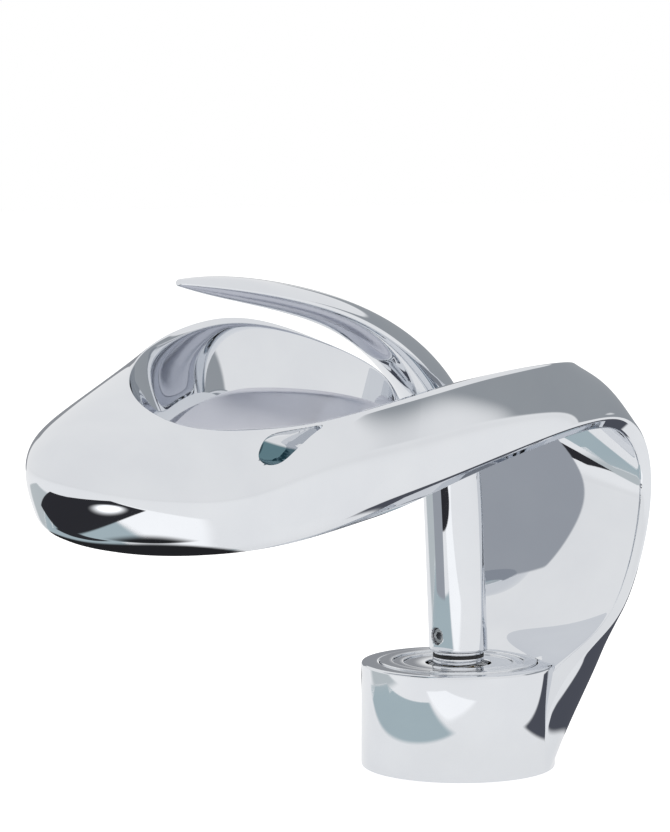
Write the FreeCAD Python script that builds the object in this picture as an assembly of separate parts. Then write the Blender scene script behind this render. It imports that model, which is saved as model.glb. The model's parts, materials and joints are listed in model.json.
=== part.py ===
import FreeCAD, Part
import math
import os

# Single-lever basin mixer: a round base, a leaning strap that curls over into a ribbon, a nose bowl with an
# oval dish, and an upright lever. Millimetres, +Z up, spout towards -Y, origin on the base axis at the deck.

# body
base_radius = 26.0
base_height = 28.0
band_half_width = 25.0
band_setback = 50.0
spout_reach = 132.0
bowl_half_width = 30.5
bowl_half_length = 48.0
bowl_back_length = 62.0
rim_half_width = 25.5
rim_half_length = 38.5
rim_thickness = 4.0
lip_height = 5.4
eye_inset = 6.2

# cartridge stack, from the top of the base down
cover_depth = 3.2
cover_step = 0.3
cover_groove = 0.6
cover_radius = 21.0
cover_hole_radius = 8.8
nut_radius = 20.0
nut_thickness = 2.8
nut_hole_radius = 10.5
nut_slot_depth = 3.0
nut_slot_width = 3.0
lid_thickness = 1.5
flange_thickness = 1.6
driver_thickness = 2.2
disc_thickness = 2.2
seat_thickness = 2.5
plate_thickness = 2.5
cartridge_radius = 17.5
housing_wall = 1.9
fixed_disc_radius = 15.3
moving_disc_radius = 9.0
driver_radius = 11.2
hub_radius = 8.0
hub_rise = 1.65
flange_radius = 14.6
lug_length = 12.0
pin_radius = 1.25
pivot_drop = 0.8
port_radius = 2.2
port_x = 4.6
port_y = 5.5
outlet_y = 6.0
trough_depth = 1.2
pocket_depth = 1.0
pocket_half_width = 5.6
pocket_front = 2.75
seal_section = 1.2
peg_radius = 1.8
peg_gap = 0.6
socket_radius = 2.5
bar_width = 6.0
slot_front = 6.0
slot_back = 4.5

# lever
stem_radius = 7.7
stem_foot = 3.0
lever_height = 131.8
lever_reach = 93.0
sleeve_radius = 5.2
sleeve_length = 15.0
collar_radius = 6.6
collar_height = 2.4
screw_radius = 2.0
screw_length = 4.0
screw_rise = 4.5
socket_flat = 2.0
socket_depth = 2.0

# connections under the base
inlet_radius = 4.5
inlet_x = 7.2
inlet_y = 3.5
inlet_depth = 8.0
stud_radius = 4.0
stud_y = 15.5
stud_depth = 7.0
gasket_inner = 21.0
gasket_outer = 24.0
gasket_thickness = 1.6

# waterway and outlet
duct_radius = 2.4
link_radius = 3.0
link_length = 12.5
cover_plate_thickness = 3.0
chamber_wall = 2.5
aerator_radius = 10.5
aerator_length = 8.0
aerator_wall = 1.7
boss_wall = 2.0
washer_thickness = 1.5
spray_radius = 1.1
spray_pitch = 3.6

# fits
fit = 0.1
play = 0.3
slack = 0.2
overrun = 1.0

# corners of the band's section: A outer and low, B outer and high, C inner and high, D inner and low
# root rows, x and y of A, B, C, D in base radii
root_corner_shares = [
    ((0.946, 0.27), (-0.946, 0.27), (-0.54, 0.115), (0.54, 0.115)),
    ((0.938, 0.385), (-0.96, 0.365), (-0.62, 0.19), (0.62, 0.23)),
    ((0.915, 0.635), (-1.0, 0.615), (-0.73, 0.42), (0.73, 0.5)),
    ((0.87, 1.077), (-1.058, 0.904), (-0.88, 0.64), (0.835, 0.92)),
]
# height in base heights, then outer bulges near A and B and inner bulge in base radii
root_bulge_shares = [
    (0.018, 0.94, 0.94, 0.0),
    (0.357, 1.23, 1.08, 0.0),
    (0.714, 1.385, 0.885, 0.04),
    (1.054, 1.077, 0.615, 0.19),
]
# strap and ribbon rows, A, B, C, D as x in band half widths, y in setbacks, rise in stem heights
strap_corner_shares = [
    ((0.90, 0.74, 0.0548), (-1.18, 0.56, 0.0548), (-1.12, 0.48, 0.0548), (0.872, 0.66, 0.0548)),
    ((0.904, 0.87, 0.1486), (-1.228, 0.62, 0.1486), (-1.18, 0.55, 0.1486), (0.88, 0.80, 0.1486)),
    ((0.912, 0.96, 0.2676), (-1.248, 0.66, 0.2676), (-1.20, 0.596, 0.2676), (0.88, 0.896, 0.2676)),
    ((0.92, 1.01, 0.3963), (-1.20, 0.70, 0.4269), (-1.16, 0.636, 0.4171), (0.88, 0.948, 0.3963)),
    ((0.94, 0.98, 0.5262), (-0.96, 0.79, 0.5949), (-0.92, 0.726, 0.5808), (0.88, 0.924, 0.5011)),
    ((0.98, 0.81, 0.6255), (-0.36, 0.86, 0.7139), (-0.36, 0.79, 0.6942), (0.88, 0.77, 0.5906)),
    ((1.00, 0.50, 0.6146), (0.38, 0.71, 0.7586), (0.30, 0.64, 0.7346), (0.868, 0.49, 0.5829)),
    ((1.02, 0.12, 0.5731), (0.852, 0.34, 0.7739), (0.704, 0.30, 0.7586), (0.88, 0.12, 0.5458)),
    ((1.028, -0.32, 0.5207), (0.968, -0.22, 0.7564), (0.808, -0.22, 0.7499), (0.88, -0.32, 0.4935)),
    ((1.048, -0.80, 0.4662), (1.00, -0.72, 0.7128), (0.84, -0.72, 0.7095), (0.88, -0.80, 0.4367)),
]
# outer bulges near A and B in band half widths, spread of their poles, inner bulge in band half widths
strap_bulge_shares = [
    (0.68, 0.62, 0.18, 0.22),
    (0.54, 0.54, 0.30, 0.22),
    (0.46, 0.46, 0.333, 0.20),
    (0.44, 0.44, 0.333, 0.20),
    (0.38, 0.38, 0.333, 0.18),
    (0.32, 0.32, 0.333, 0.12),
    (0.22, 0.22, 0.333, 0.04),
    (0.136, 0.136, 0.333, -0.06),
    (0.096, 0.096, 0.333, -0.10),
    (0.10, 0.10, 0.333, -0.10),
]
# bowl rows every bowl_step degrees: rim's rise in stem heights, outer bulges and rim roll in rim half widths,
# rise of the inner rim edge over the outer one in rim thicknesses
bowl_start = -8.0
bowl_step = 21.6
bowl_shares = [
    (0.6779, 0.10, 0.10, 0.0, -0.2),
    (0.6571, 0.175, 0.14, 0.02, -0.2),
    (0.6506, 0.30, 0.19, 0.05, -0.2),
    (0.6550, 0.50, 0.26, 0.07, -0.2),
    (0.6735, 0.74, 0.32, 0.08, -0.2),
    (0.7117, 0.85, 0.345, 0.08, -0.2),
    (0.7608, 0.83, 0.35, 0.08, -0.2),
    (0.8056, 0.68, 0.34, 0.07, -0.2),
    (0.8438, 0.48, 0.29, 0.06, -0.2),
    (0.8732, 0.34, 0.24, 0.06, -0.2),
    (0.8754, 0.26, 0.20, 0.05, 0.0),
    (0.8165, 0.22, 0.17, 0.03, 0.5),
    (0.7630, 0.21, 0.16, 0.02, 0.75),
    (0.7237, 0.19, 0.15, 0.02, 0.65),
    (0.6768, 0.16, 0.13, 0.02, 0.3),
    (0.6582, 0.09, 0.09, 0.0, 0.0),
    (0.6440, 0.03, 0.04, 0.0, 0.0),
]
rim_x_share = 0.06
rim_y_share = 0.492
bowl_x_share = 0.066
spout_rise_share = 0.78373
underside_rise_share = 0.44345
floor_rise_share = 0.65476
recess_back_share = 0.548105
underside_share_x = -0.14
underside_share_y = 0.10
floor_share_x = -0.24
floor_share_y = 0.03
lip_inset_share = 0.2
lip_fullness_share = 0.03
draft_share = 0.985
aerator_share = 0.62
half_share = 0.5
third_share = 1.0 / 3.0

# lever rows: y in lever reaches, rise in stem heights, lean in degrees, half width in stem radii,
# then depth in stem radii and fullness of the front half, and of the back half
lever_shares = [
    (0.0, 0.0, 0.0, 1.0, 1.0, 1.0, 1.0, 1.0),
    (-0.008, 0.14, 0.0, 1.0, 1.0, 1.0, 1.0, 1.0),
    (-0.017, 0.31, 0.0, 1.0, 1.0, 1.0, 1.0, 1.0),
    (-0.028, 0.47, 3.0, 1.0, 1.0, 1.0, 1.0, 1.0),
    (-0.052, 0.597, 18.0, 1.0, 0.98, 1.0, 1.01, 0.95),
    (-0.130, 0.711, 40.0, 1.0, 0.90, 1.0, 0.95, 0.8),
    (-0.258, 0.819, 58.0, 1.0, 0.68, 1.0, 0.74, 0.66),
    (-0.430, 0.903, 72.0, 1.03, 0.50, 0.95, 0.55, 0.6),
    (-0.625, 0.950, 77.0, 0.98, 0.45, 0.8, 0.50, 0.6),
    (-0.800, 0.979, 80.0, 0.78, 0.40, 0.7, 0.44, 0.6),
    (-0.925, 0.993, 82.0, 0.5, 0.28, 0.6, 0.30, 0.6),
    (-1.0, 1.0, 83.0, 0.19, 0.12, 0.7, 0.12, 0.7),
]
half_round_share = 4.0 / 3.0

# outline of the eye-shaped pocket in the near wall, y in spout reaches, rise in stem heights
eye_shares = [
    (-0.663, 0.5720), (-0.692, 0.5960), (-0.676, 0.6495), (-0.61, 0.6670), (-0.535, 0.6735), (-0.60, 0.6233),
]
# the waterway's stretch of the band's width and thickness
core_span_shares = (0.24, 0.76)
core_skin_shares = (0.3, 0.7)
cover_step_shares = (0.84, 0.70)

# where the band is split for building, as a share of its length, and the rows between which the waterway runs
split_share = 23.0 / 28.0
core_first_row = len(root_corner_shares) - 1
core_last_row = len(root_corner_shares) + len(strap_corner_shares) + 1

up = FreeCAD.Vector(0, 0, 1)
back = FreeCAD.Vector(0, 1, 0)
side = FreeCAD.Vector(1, 0, 0)
origin = FreeCAD.Vector(0, 0, 0)

# heights that several pieces share
cover_seat = base_height - cover_depth
nut_bottom = cover_seat - slack - nut_thickness
lid_bottom = nut_bottom - lid_thickness
flange_top = lid_bottom - fit
flange_bottom = flange_top - flange_thickness
driver_top = flange_bottom - slack
driver_bottom = driver_top - driver_thickness
disc_bottom = driver_bottom - disc_thickness
seat_bottom = disc_bottom - seat_thickness
cavity_floor = seat_bottom - plate_thickness
pivot_height = cover_seat - pivot_drop
foot_height = base_height + stem_foot
collar_bottom = foot_height - collar_height
stem_height = lever_height - foot_height
spout_height = foot_height + stem_height * spout_rise_share
underside_height = foot_height + stem_height * underside_rise_share
floor_height = foot_height + stem_height * floor_rise_share
reach = spout_height + spout_height


def vec(x, y, z):
    return FreeCAD.Vector(x, y, z)


def mix(a, b, share):
    return a + (b - a) * share


def unit(v):
    return v / v.Length


def rod(radius, start, height, x=0, y=0):
    return Part.makeCylinder(radius, height, vec(x, y, start))


def ring(outer, inner, start, height, x=0, y=0):
    bore = rod(inner, start - overrun, height + overrun + overrun, x, y)
    return rod(outer, start, height, x, y).cut(bore)


def block(x0, x1, y0, y1, z0, z1):
    return Part.makeBox(x1 - x0, y1 - y0, z1 - z0, vec(x0, y0, z0))


def bar(start, end, width):
    return block(-width / 2, width / 2, -width / 2, width / 2, start, end)


def clamped(count, degree):
    mults = [degree + 1] + [1] * (count - degree - 1) + [degree + 1]
    return mults, [float(i) for i in range(len(mults))]


def spline(columns, degree=3):
    """A spline surface from control columns; each column runs along the piece."""
    poles = [list(row) for row in zip(*columns)]
    u_mults, u_knots = clamped(len(poles), degree)
    v_mults, v_knots = clamped(len(columns), len(columns) - 1)
    surface = Part.BSplineSurface()
    surface.buildFromPolesMultsKnots(
        poles, u_mults, v_mults, u_knots, v_knots, False, False, degree, len(columns) - 1
    )
    return surface


def closed_solid(faces):
    shell = Part.makeCompound(faces)
    shell.sewShape()
    solid = Part.makeSolid(shell.Shells[0])
    if solid.Volume < 0:
        solid.reverse()
    return solid


def cubic(points):
    """The four cubic poles of a line, a quadratic or a cubic."""
    if len(points) == 2:
        return [mix(points[0], points[1], i * third_share) for i in range(4)]
    if len(points) == 3:
        a, b, c = points
        return [a, mix(b, a, third_share), mix(b, c, third_share), c]
    return list(points)


def end_cap(sides):
    """A patch that closes a section from the poles of its four sides, taken in turn round the section."""
    low, right, high, left = [cubic(points) for points in sides]
    high.reverse()
    left.reverse()
    poles = []
    for i in range(4):
        row = []
        for j in range(4):
            s, t = i * third_share, j * third_share
            corner = mix(mix(low[0], low[3], t), mix(high[0], high[3], t), s)
            row.append(mix(low[j], high[j], s) + mix(left[i], right[i], t) - corner)
        poles.append(row)
    return spline([list(column) for column in zip(*poles)]).toShape()


def band_solid(sides, start=None, end=None):
    """A closed band from its four sides, each a list of control columns, or the stretch between two rows."""
    surfaces = [spline(columns) for columns in sides]
    if start is not None:
        for surface in surfaces:
            surface.segment(start, end, 0, 1)
    faces = [surface.toShape() for surface in surfaces]
    for row in (0, -1):
        faces.append(end_cap([surface.getPoles()[row] for surface in surfaces]))
    return closed_solid(faces)


def underside(x, y):
    return underside_height + underside_share_x * x + underside_share_y * (y + spout_reach / 2)


def rim_centre():
    return rim_half_width * rim_x_share, -spout_reach * rim_y_share


def bowl_corners(turn, height, rise):
    """Corners of the bowl's section at an angle round the dish: near side, nose, far side, back."""
    c, s = math.cos(turn), -math.sin(turn)
    length = bowl_half_length if s < 0 else bowl_back_length
    ax, ay = bowl_half_width * (c - bowl_x_share), bowl_half_length - spout_reach + length * s
    rx, ry = rim_centre()
    b = vec(rx + rim_half_width * c, ry + rim_half_length * s, foot_height + height * stem_height)
    inset_x = (rim_half_width - rim_thickness) * c
    inset_y = (rim_half_length - rim_thickness) * s
    inner = vec(rx + inset_x, ry + inset_y, b.z + rim_thickness * rise)
    dx, dy = rx + inset_x * draft_share, ry + inset_y * draft_share
    if s > 0:
        dy = ry + bowl_back_length * recess_back_share * s
    return [vec(ax, ay, underside(ax, ay) + lip_height), b, inner, vec(dx, dy, underside(dx, dy))]


def band_rows():
    """Corners, bulges, spread, inner bulge, rim roll and lip of each row, from the deck to the bowl's end."""
    rows = []
    r, w = base_radius, band_half_width
    for corners, (z, low, high, inner) in zip(root_corner_shares, root_bulge_shares):
        points = [vec(x * r, y * r, z * base_height) for x, y in corners]
        rows.append((points, low * r, high * r, 0, inner * r, 0, False))
    for corners, (low, high, spread, inner) in zip(strap_corner_shares, strap_bulge_shares):
        points = [vec(x * w, y * band_setback, foot_height + z * stem_height) for x, y, z in corners]
        rows.append((points, low * w, high * w, spread, inner * w, 0, False))
    w = rim_half_width
    for i, (height, low, high, roll, rise) in enumerate(bowl_shares):
        points = bowl_corners(math.radians(bowl_start + bowl_step * i), height, rise)
        full = i < len(bowl_shares) - 1
        rows.append((points, low * w, high * w, third_share, 0, roll * w, full))
    return rows


def band_columns():
    """Control columns of the band's outer, rim, inner and lip sides."""
    rows = band_rows()
    middles = [(a + b + c + d) / 4 for (a, b, c, d), *rest in rows]
    columns = [[[] for i in range(count)] for count in (4, 3, 4, 4)]
    for i, ((a, b, c, d), low, high, spread, hollow, roll, full) in enumerate(rows):
        along = middles[min(i + 1, len(rows) - 1)] - middles[max(i - 1, 0)]
        out = back
        if i >= len(root_corner_shares):
            out = unit((b - a).cross(along))
            if out * (a + b - c - d) < 0:
                out = out * -1
        rise = unit(b + c - a - d)
        e1, e2 = mix(d, a, third_share), mix(a, d, third_share)
        if full:
            e1, e2 = mix(a, d, lip_inset_share), mix(a, d, lip_fullness_share)
            e1.z, e2.z = underside(e1.x, e1.y), underside(e2.x, e2.y) - slack
        sides = [
            [a, mix(a, b, spread) + out * low, mix(b, a, spread) + out * high, b],
            [b, mix(b, c, half_share) + rise * roll, c],
            [c, mix(c, d, third_share) + out * hollow, mix(d, c, third_share) + out * hollow, d],
            [d, e1, e2, a],
        ]
        for side_columns, points in zip(columns, sides):
            for column, point in zip(side_columns, points):
                column.append(point)
    return columns


def blossom(poles, r, s, t):
    q = [mix(poles[i], poles[i + 1], r) for i in range(3)]
    q = [mix(q[i], q[i + 1], s) for i in range(2)]
    return mix(q[0], q[1], t)


def part_of(columns, span):
    """The stretch of a cubic side between two shares of its width, as new control columns."""
    lo, hi = span
    rows = []
    for p in zip(*columns):
        picks = ((lo, lo, lo), (lo, lo, hi), (lo, hi, hi), (hi, hi, hi))
        rows.append([blossom(p, *pick) for pick in picks])
    return [list(column) for column in zip(*rows)]


def core_solid(outer, inner):
    """The waterway inside the band."""
    pick = slice(core_first_row, core_last_row)
    skin = part_of([c[pick] for c in outer], core_span_shares)
    hollow = part_of([c[pick] for c in reversed(inner)], core_span_shares)
    near, far = core_skin_shares
    top = [[mix(a, b, near) for a, b in zip(x, y)] for x, y in zip(skin, hollow)]
    low = [[mix(a, b, far) for a, b in zip(x, y)] for x, y in zip(skin, hollow)]
    low.reverse()
    return band_solid([top, [top[3], low[0]], low, [low[3], top[0]]])


def tilted_slab(share_x, share_y, height, low, high):
    """A wide slab between two offsets from a tilted plane over the middle of the reach."""
    normal = unit(vec(-share_x, -share_y, 1))
    centre = vec(0, -spout_reach / 2, height)
    return Part.makeCylinder(spout_reach + spout_reach, high - low, centre + normal * low, normal)


def below_floor(drop):
    return tilted_slab(floor_share_x, floor_share_y, floor_height - drop, -reach, 0)


def oval(half_width, front_length, back_length):
    """An upright oval prism on the rim centre, tall enough for every cut."""
    rx, ry = rim_centre()
    arcs = []
    for length, turn in ((back_length, 90), (front_length, 270)):
        shape = Part.Ellipse(vec(rx, ry, 0), length, half_width)
        shape.rotate(FreeCAD.Placement(vec(rx, ry, 0), FreeCAD.Rotation(up, turn), origin))
        arcs.append(shape.toShape(-math.pi / 2, math.pi / 2))
    return Part.Face(Part.Wire(arcs)).extrude(up * reach)


def oval_layer(inset, low, high):
    """A layer of the oval above the tilted underside."""
    width = (rim_half_width - rim_thickness) * draft_share - inset
    front = (rim_half_length - rim_thickness) * draft_share - inset
    back_length = bowl_back_length * recess_back_share - inset
    slab = tilted_slab(underside_share_x, underside_share_y, underside_height, low, high)
    return oval(width, front, back_length).common(slab)


def outlet_frame():
    normal = unit(vec(-underside_share_x, -underside_share_y, 1))
    x, y = rim_half_width * rim_x_share, -spout_reach * aerator_share
    return vec(x, y, underside(x, y)), normal


def outlet_rod(radius, low, high):
    centre, normal = outlet_frame()
    return Part.makeCylinder(radius, high - low, centre + normal * low, normal)


def eye_cutter():
    x = bowl_half_width - eye_inset
    points = [vec(x, y * spout_reach, foot_height + z * stem_height) for y, z in eye_shares]
    curve = Part.BSplineCurve()
    curve.interpolate(points, True)
    return Part.Face(Part.Wire([curve.toShape()])).extrude(side * bowl_half_width)


def waterway(outer, inner):
    """The core with the duct that feeds it from the cartridge and the link to the nose chamber."""
    first, last = core_first_row, core_last_row - 1
    start = vec(0, cartridge_radius - duct_radius, seat_bottom)
    run = (outer[1][first] + outer[2][first] + inner[1][first]) * third_share - start
    link = mix(outer[1][last], inner[2][last], half_share)
    return [
        core_solid(outer, inner),
        Part.makeCylinder(duct_radius, run.Length, start, run),
        Part.makeCylinder(link_radius, link_length, link, side * -1),
    ]


def spout_body():
    sides = band_columns()
    outer, rim, inner, lip = sides
    spans = len(outer[0]) - len(outer) + 1
    split = spans * split_share
    band = band_solid(sides, 0, split)
    tail = band_solid(sides, split, spans)
    dish = oval_layer(-rim_thickness / 2, cover_plate_thickness / 2, reach).common(below_floor(0))
    body = rod(base_radius, 0, base_height).fuse(band).fuse(tail).fuse(dish)
    cuts = [
        oval_layer(chamber_wall, cover_plate_thickness - overrun, reach).common(below_floor(chamber_wall)),
        oval_layer(0, -spout_height / 2, cover_plate_thickness),
        rod(cartridge_radius + fit, cavity_floor, base_height),
        rod(nut_radius, nut_bottom, base_height),
        rod(cover_radius + fit, cover_seat, cover_depth + overrun),
        ring(gasket_outer, gasket_inner, -overrun, gasket_thickness + overrun),
        rod(stud_radius, -overrun, stud_depth + overrun, 0, -stud_y),
        eye_cutter(),
    ]
    for x in (-1, 1):
        cuts.append(rod(inlet_radius, -overrun, inlet_depth + overrun, x * inlet_x, -inlet_y))
        cuts.append(rod(port_radius, inlet_depth - overrun, base_height - inlet_depth, x * port_x, -port_y))
    for cut in cuts + waterway(outer, inner):
        body = body.cut(cut)
    return body


def outlet_plate():
    boss_top = aerator_length + washer_thickness + boss_wall
    plate = oval_layer(fit, 0, cover_plate_thickness)
    plate = plate.fuse(outlet_rod(aerator_radius + boss_wall, 0, boss_top))
    plate = plate.cut(outlet_rod(aerator_radius + fit, -overrun, aerator_length + washer_thickness))
    return plate.cut(outlet_rod(aerator_radius - boss_wall, 0, boss_top + overrun))


def aerator_housing():
    tube = outlet_rod(aerator_radius, 0, aerator_length)
    return tube.cut(outlet_rod(aerator_radius - aerator_wall, -overrun, aerator_length + overrun))


def aerator_insert():
    """A plug with a grid of spray holes."""
    plug_radius = aerator_radius - aerator_wall
    plug = outlet_rod(plug_radius, overrun, aerator_length)
    centre, normal = outlet_frame()
    across = unit(side - normal * (side * normal))
    along = normal.cross(across)
    count = int((plug_radius - spray_pitch / 2) / spray_pitch)
    for i in range(-count, count + 1):
        for j in range(-count, count + 1):
            offset = (across * i + along * j) * spray_pitch
            if offset.Length < spray_pitch * (count + third_share):
                plug = plug.cut(Part.makeCylinder(spray_radius, reach, centre + offset, normal))
    return plug


def aerator_washer():
    disc = outlet_rod(aerator_radius, aerator_length, aerator_length + washer_thickness)
    return disc.cut(outlet_rod(aerator_radius - boss_wall, 0, spout_height))


def base_gasket():
    return ring(gasket_outer, gasket_inner, 0, gasket_thickness)


def port_holes(radius, start, height):
    holes = [rod(radius, start, height, x * port_x, -port_y) for x in (-1, 1)]
    return holes[0].fuse(holes[1])


def cartridge_base():
    """The plate under the discs, with seal seats below and a trough that leads mixed water to the duct."""
    trough_floor = seat_bottom - trough_depth
    plate = rod(cartridge_radius, cavity_floor, plate_thickness)
    plate = plate.cut(port_holes(port_radius, cavity_floor - overrun, base_height))
    plate = plate.cut(port_holes(port_radius + seal_section, cavity_floor - overrun, seal_section + overrun))
    plate = plate.cut(block(-port_radius, port_radius, outlet_y, base_radius, trough_floor, base_height))
    return plate.cut(rod(port_radius, trough_floor, base_height, 0, outlet_y))


def cartridge_seals():
    rings = []
    for x in (-1, 1):
        outer = port_radius + seal_section
        rings.append(ring(outer, port_radius, cavity_floor, seal_section, x * port_x, -port_y))
    return Part.makeCompound(rings)


def fixed_disc():
    disc = rod(fixed_disc_radius, seat_bottom, seat_thickness)
    disc = disc.cut(port_holes(port_radius, seat_bottom - overrun, base_height))
    return disc.cut(rod(port_radius, seat_bottom - overrun, base_height, 0, outlet_y))


def cartridge_housing():
    shell = ring(cartridge_radius, cartridge_radius - housing_wall, seat_bottom, lid_bottom - seat_bottom)
    shell = shell.fuse(ring(cartridge_radius, hub_radius + play, lid_bottom, lid_thickness))
    return shell.cut(ring(base_radius, cartridge_radius - housing_wall / 2, flange_bottom, seal_section))


def housing_seal():
    return ring(cartridge_radius + fit, cartridge_radius - housing_wall / 2, flange_bottom, seal_section)


def cartridge_nut():
    nut = ring(nut_radius, nut_hole_radius, nut_bottom, nut_thickness)
    wide = nut_slot_width / 2
    for i in range(4):
        inner, outer = nut_hole_radius - overrun, nut_hole_radius + nut_slot_depth
        slot = block(inner, outer, -wide, wide, nut_bottom + nut_thickness / 2, base_height)
        slot.rotate(origin, up, 90 * i)
        nut = nut.cut(slot)
    return nut


def cover_ring():
    """A turned ring whose top steps down towards the stem, with a fine groove at each step."""
    top = base_height + cover_step
    cover = ring(cover_radius, cover_hole_radius, cover_seat, top - cover_seat)
    for share in cover_step_shares:
        radius = cover_radius * share
        top = top - cover_step
        cover = cover.cut(rod(radius, top, base_height))
        cover = cover.cut(ring(radius, radius - cover_step, top - cover_groove, base_height))
    return cover


def cross_rod(radius, half_length):
    return Part.makeCylinder(radius, half_length + half_length, vec(-half_length, 0, pivot_height), side)


def rotor():
    """The turning carrier: hub with the lever's slot, flange, and two lugs that guide the disc driver."""
    body = rod(flange_radius, flange_bottom, flange_thickness)
    body = body.fuse(rod(hub_radius, flange_bottom, pivot_height + hub_rise - flange_bottom))
    guide = moving_disc_radius + slack
    for i in range(2):
        ends = lug_length / 2
        lug = block(guide, guide + flange_thickness, -ends, ends, driver_bottom + slack, flange_top)
        lug.rotate(origin, up, 180 * i)
        body = body.fuse(lug)
    wide = bar_width / 2 + play
    body = body.cut(block(-wide, wide, -slot_front, slot_back, 0, spout_height))
    return body.cut(cross_rod(pin_radius, hub_radius - slack))


def pivot_pin():
    return cross_rod(pin_radius, hub_radius - slack)


def moving_disc():
    """The sliding disc, with a blind pocket that links the inlets to the outlet."""
    disc = rod(moving_disc_radius, disc_bottom, disc_thickness)
    wide = pocket_half_width
    return disc.cut(block(-wide, wide, -pocket_front, outlet_y + slack, 0, disc_bottom + pocket_depth))


def disc_driver():
    plate = rod(driver_radius, driver_bottom, driver_thickness)
    wide = moving_disc_radius
    plate = plate.common(block(-wide, wide, -base_radius, base_radius, 0, base_height))
    return plate.cut(rod(socket_radius, 0, base_height))


def spindle():
    """The square bar under the lever, with the peg that pushes the disc driver."""
    peg = rod(peg_radius, driver_bottom + peg_gap, pivot_height - driver_bottom)
    body = bar(flange_top - slack, foot_height + sleeve_length - overrun, bar_width).fuse(peg)
    return body.cut(cross_rod(pin_radius + play, base_radius))


def lever_columns():
    """Control columns of the lever's front and back halves."""
    front_half, back_half = [[] for i in range(4)], [[] for i in range(4)]
    for y, rise, lean, width, *depths in lever_shares:
        turn = math.radians(lean)
        centre = vec(0, y * lever_reach, foot_height + rise * stem_height)
        across = side * (stem_radius * width)
        front = vec(0, -math.cos(turn), -math.sin(turn)) * (stem_radius * half_round_share)
        for half, depth, waist in ((front_half, *depths[:2]), (back_half, *depths[2:])):
            inner, deep = across * waist, front * depth
            for column, point in zip(half, [across, inner + deep, deep - inner, across * -1]):
                column.append(centre + point)
            across, front = across * -1, front * -1
    return front_half, back_half


def lever_handle():
    front_half, back_half = lever_columns()
    faces = [spline(front_half).toShape(), spline(back_half).toShape()]
    for end in (0, -1):
        caps = [[a[end], b[end]] for a, b in zip(front_half, reversed(back_half))]
        faces.append(spline(caps, 1).toShape())
    lever = closed_solid(faces)
    lever = lever.cut(rod(sleeve_radius + fit, 0, foot_height + sleeve_length))
    return lever.cut(screw_rod(screw_radius, stem_radius + overrun))


def screw_rod(radius, length):
    return Part.makeCylinder(radius, length, vec(0, -bar_width / 2, foot_height + screw_rise), back * -1)


def handle_sleeve():
    sleeve = rod(sleeve_radius, foot_height, sleeve_length)
    sleeve = sleeve.cut(bar(0, foot_height + sleeve_length - overrun, bar_width))
    return sleeve.cut(screw_rod(screw_radius, stem_radius))


def grub_screw():
    screw = screw_rod(screw_radius, screw_length)
    outer_end = vec(0, -bar_width / 2 - screw_length, foot_height + screw_rise)
    corners = []
    for i in range(7):
        turn = math.radians(60 * i)
        corners.append(outer_end + vec(math.cos(turn), 0, math.sin(turn)) * (socket_flat / math.sqrt(3)))
    return screw.cut(Part.Face(Part.makePolygon(corners)).extrude(back * socket_depth))


def stem_collar():
    collar = rod(collar_radius, collar_bottom, collar_height).cut(bar(0, spout_height, bar_width))
    third = collar_height * third_share
    return collar.cut(ring(stem_radius, collar_radius - seal_section, collar_bottom + third, third))


def collar_ring():
    third = collar_height * third_share
    return ring(collar_radius + slack, collar_radius - seal_section, collar_bottom + third, third)


pieces = [
    spout_body, outlet_plate, aerator_housing, aerator_insert, aerator_washer, base_gasket,
    cartridge_base, cartridge_seals, fixed_disc, cartridge_housing, housing_seal, cartridge_nut, cover_ring,
    rotor, pivot_pin, moving_disc, disc_driver,
    spindle, lever_handle, handle_sleeve, grub_screw, stem_collar, collar_ring,
]

os.makedirs("parts", exist_ok=True)
for piece in pieces:
    shape = piece()
    print(piece.__name__, shape.isValid(), len(shape.Solids), round(shape.Volume, 1))
    shape.exportStep("parts/" + piece.__name__ + ".step")
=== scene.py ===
import json
import bpy
import numpy as np
from mathutils import Matrix


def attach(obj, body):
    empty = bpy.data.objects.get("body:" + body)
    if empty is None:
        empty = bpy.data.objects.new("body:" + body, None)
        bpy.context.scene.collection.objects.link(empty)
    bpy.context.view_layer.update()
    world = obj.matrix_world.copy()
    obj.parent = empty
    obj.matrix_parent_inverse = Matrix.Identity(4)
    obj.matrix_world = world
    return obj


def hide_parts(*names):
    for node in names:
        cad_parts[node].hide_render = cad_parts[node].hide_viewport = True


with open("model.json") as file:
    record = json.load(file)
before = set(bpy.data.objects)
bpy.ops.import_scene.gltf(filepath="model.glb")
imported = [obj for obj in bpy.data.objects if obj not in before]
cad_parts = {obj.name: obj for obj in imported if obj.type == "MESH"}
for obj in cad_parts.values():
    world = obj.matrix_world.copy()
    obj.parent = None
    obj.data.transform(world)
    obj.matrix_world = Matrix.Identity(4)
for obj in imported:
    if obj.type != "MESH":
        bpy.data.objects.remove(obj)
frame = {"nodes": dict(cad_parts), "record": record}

scene = bpy.context.scene
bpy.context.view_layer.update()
millimetre = 0.001
sharpAngle = np.radians(50)
longestTrim = 0.42                       # share of a side that a section's rounded corner may take
longestTurnedTrim = 0.45                 # and that of a turned profile
grainRange = (0.35, 0.65)                # where most of a noise texture's values lie
print("frame loaded:", len(frame["nodes"]), "nodes")


# Weight of each row at each place along a clamped cubic spline. Places run from 0 to rowCount - 3. A row
# starts as 1 inside its own knot span, and each degree blends it with its right neighbour by how far along
# the span it is.
def splineWeights(rowCount, places):
    knots = np.concatenate([np.zeros(3), np.arange(rowCount - 2.0), np.full(3, rowCount - 3.0)])
    at = np.minimum(places, rowCount - 3 - 1e-9)[:, None]
    weights = ((knots[:-1] <= at) & (at < knots[1:])).astype(float)
    for degree in (1, 2, 3):
        width = knots[degree:] - knots[:-degree]
        ramp = (at - knots[:-degree]) / np.where(width > 0, width, 1.0) * (width > 0)
        fall = (1 - ramp) * (width > 0)
        weights = (ramp * weights)[:, :-1] + (fall * weights)[:, 1:]
    return weights


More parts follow.
